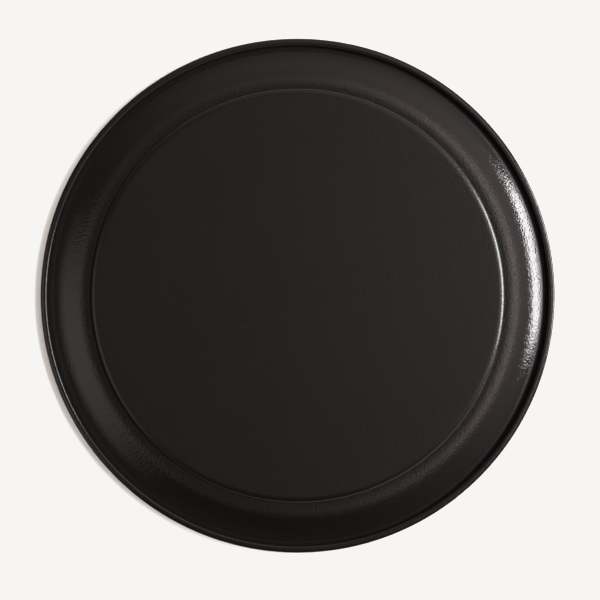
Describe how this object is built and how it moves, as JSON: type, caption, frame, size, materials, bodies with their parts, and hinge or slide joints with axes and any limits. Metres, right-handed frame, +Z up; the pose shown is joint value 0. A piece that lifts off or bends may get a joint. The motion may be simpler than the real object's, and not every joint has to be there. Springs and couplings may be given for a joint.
{
  "type": "serving tray",
  "caption": "Flat round serving tray with a low upright rim, a crowned border that falls to the rim and a raised padded insert, covered in black grained leather.",
  "frame": {"origin": "centre of the base, on the surface that the tray stands on", "axes": "+Z up along the tray's axis of symmetry; X and Y lie in the base and are free to choose on a round tray"},
  "size_m": [0.5, 0.5, 0.017],
  "materials": {
    "border_leather": "semi-gloss black coated leather with a fine pebble grain",
    "rim_leather": "glossy black coated leather with a fine pebble grain, stretched over the rim",
    "insert_leather": "matte black leather with a fine grain",
    "suede": "napped black suede",
    "fibreboard": "turned medium-density fibreboard",
    "beech": "steam-bent beech strip, sanded and unfinished",
    "leatherboard": "pressed leatherboard",
    "felt": "thin grey wool felt"
  },
  "bodies": {
    "root": {"core_board": "fibreboard", "rim_hoop": "beech", "rim_leather": "rim_leather", "border_leather": "border_leather", "top_infill": "leatherboard", "insert_board": "fibreboard", "insert_felt": "felt", "insert_leather": "insert_leather", "base_infill": "leatherboard", "base_lining": "suede"}
  },
  "joints": []
}
